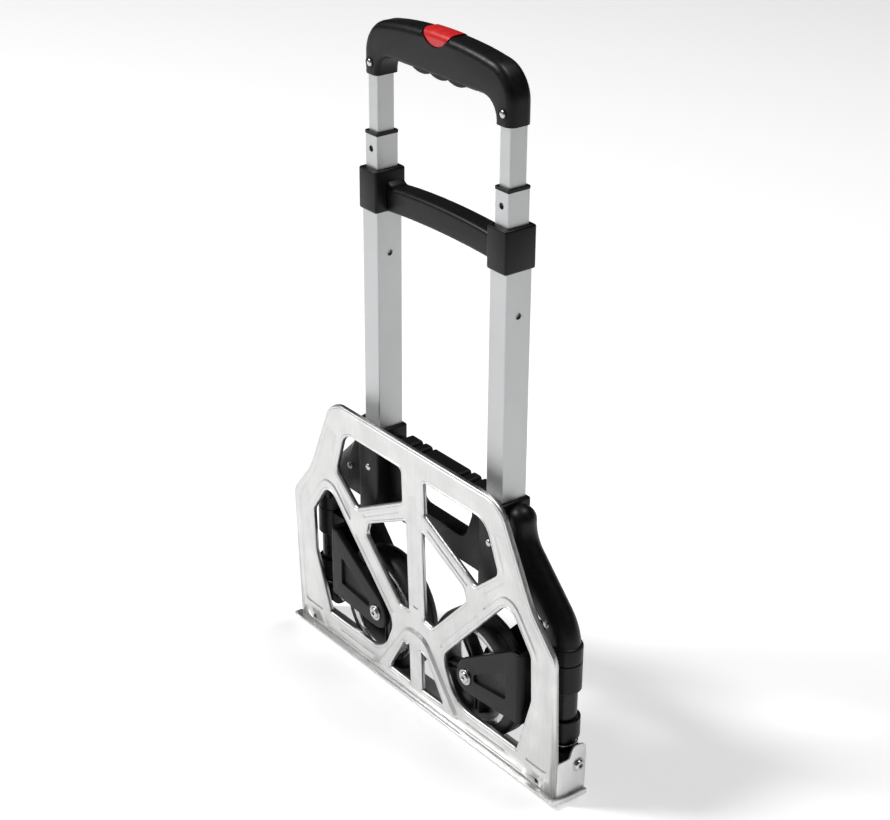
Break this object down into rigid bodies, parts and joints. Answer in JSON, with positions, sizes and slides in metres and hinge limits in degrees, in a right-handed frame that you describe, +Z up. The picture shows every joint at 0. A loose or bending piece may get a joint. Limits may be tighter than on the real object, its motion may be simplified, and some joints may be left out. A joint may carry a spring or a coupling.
{
  "type": "folding hand truck",
  "caption": "Folding hand truck with a telescopic handle, swing-out wheels and a fold-up pressed toe plate, shown folded.",
  "frame": {"origin": "middle of the base rail's underside, straight below the toe plate's hinge line", "axes": "+X across the truck to the viewer's right, -Y towards the toe plate's side, +Z up the handle"},
  "size_m": [0.488, 0.0681, 0.7921],
  "materials": {
    "tube_aluminium": "satin anodised, fine lines along the tube",
    "plate_aluminium": "bright satin pressed sheet",
    "black_plastic": "satin black moulding with a fine grain",
    "red_plastic": "smooth red moulding",
    "black_paint": "black powder coat",
    "tyre_rubber": "matt black rubber",
    "rim_plastic": "dark grey moulding with a bright lip",
    "bright_steel": "bright zinc plate"
  },
  "bodies": {
    "frame": {"outer_tube_left": "tube_aluminium", "outer_tube_right": "tube_aluminium", "tube_guides": "black_plastic", "upper_bridge": "black_plastic", "lower_panel": "black_plastic", "corner_bracket_left": "black_plastic", "corner_bracket_right": "black_plastic", "side_post_left": "black_paint", "side_post_right": "black_paint", "post_foot_left": "black_plastic", "post_foot_right": "black_plastic", "fold_spring_left": "bright_steel", "fold_spring_right": "bright_steel", "frame_rivets": "bright_steel"},
    "middle_stage": {"middle_tube_left": "tube_aluminium", "middle_tube_right": "tube_aluminium", "middle_collar_left": "black_plastic", "middle_collar_right": "black_plastic", "middle_foot_left": "black_plastic", "middle_foot_right": "black_plastic", "middle_pin_springs": "bright_steel"},
    "middle_pins": {"middle_lock_pins": "bright_steel"},
    "handle_stage": {"inner_tube_left": "tube_aluminium", "inner_tube_right": "tube_aluminium", "inner_foot_left": "black_plastic", "inner_foot_right": "black_plastic", "inner_pin_springs": "bright_steel", "grip_shell": "black_plastic", "grip_underside": "black_plastic", "grip_rivets": "bright_steel", "button_spring": "bright_steel"},
    "inner_pins": {"inner_lock_pins": "bright_steel"},
    "release": {"release_button": "red_plastic", "release_bar": "black_plastic", "release_rod_left": "bright_steel", "release_rod_right": "bright_steel"},
    "toe": {"toe_plate": "plate_aluminium", "toe_rail": "plate_aluminium", "toe_ear_left": "plate_aluminium", "toe_ear_right": "plate_aluminium", "hinge_bolt_left": "bright_steel", "hinge_bolt_right": "bright_steel"},
    "bracket_left": {"wheel_bracket_left": "black_plastic", "post_bushes_left": "bright_steel", "axle_left": "bright_steel", "axle_fixings_left": "bright_steel"},
    "wheel_left": {"tyre_left": "tyre_rubber", "wheel_rim_left": "rim_plastic", "bearings_left": "bright_steel"},
    "bracket_right": {"wheel_bracket_right": "black_plastic", "post_bushes_right": "bright_steel", "axle_right": "bright_steel", "axle_fixings_right": "bright_steel"},
    "wheel_right": {"tyre_right": "tyre_rubber", "wheel_rim_right": "rim_plastic", "bearings_right": "bright_steel"}
  },
  "joints": [
    {"name": "middle_slide", "type": "slide", "parent": "frame", "child": "middle_stage", "axis": [0, 0, 1], "range_m": [0, 0.175]},
    {"name": "handle_slide", "type": "slide", "parent": "middle_stage", "child": "handle_stage", "axis": [0, 0, 1], "range_m": [0, 0.175]},
    {"name": "button_press", "type": "slide", "parent": "handle_stage", "child": "release", "axis": [0, 0, -1], "range_m": [0, 0.004], "stiffness_N_per_m": 800, "springref_m": -0.006, "deforming": ["button_spring"]},
    {"name": "inner_pin_pull", "type": "slide", "parent": "handle_stage", "child": "inner_pins", "axis": [0, 1, 0], "range_m": [0, 0.0025]},
    {"name": "middle_pin_pull", "type": "slide", "parent": "middle_stage", "child": "middle_pins", "axis": [-1, 0, 0], "range_m": [0, 0.0025]},
    {"name": "toe_fold", "type": "hinge", "parent": "frame", "child": "toe", "pos_m": [0, 0, 0.0403], "axis": [1, 0, 0], "range_deg": [0, 88]},
    {"name": "bracket_swing_left", "type": "hinge", "parent": "frame", "child": "bracket_left", "pos_m": [-0.2136, 0, 0.1], "axis": [0, 0, 1], "range_deg": [0, 90.1]},
    {"name": "bracket_swing_right", "type": "hinge", "parent": "frame", "child": "bracket_right", "pos_m": [0.2136, 0, 0.1], "axis": [0, 0, -1], "range_deg": [0, 90.1]},
    {"name": "wheel_spin_left", "type": "hinge", "parent": "bracket_left", "child": "wheel_left", "pos_m": [-0.0845, -0.0084, 0.0828], "axis": [0, 1, 0], "continuous": true},
    {"name": "wheel_spin_right", "type": "hinge", "parent": "bracket_right", "child": "wheel_right", "pos_m": [0.0845, -0.0084, 0.0828], "axis": [0, 1, 0], "continuous": true}
  ],
  "couplings": [
    {"joint": "inner_pin_pull", "follows": "button_press", "ratio": 0.6},
    {"joint": "middle_pin_pull", "follows": "button_press", "ratio": 0.6},
    {"joint": "bracket_swing_left", "follows": "toe_fold", "ratio": 1.0227},
    {"joint": "bracket_swing_right", "follows": "toe_fold", "ratio": 1.0227}
  ]
}
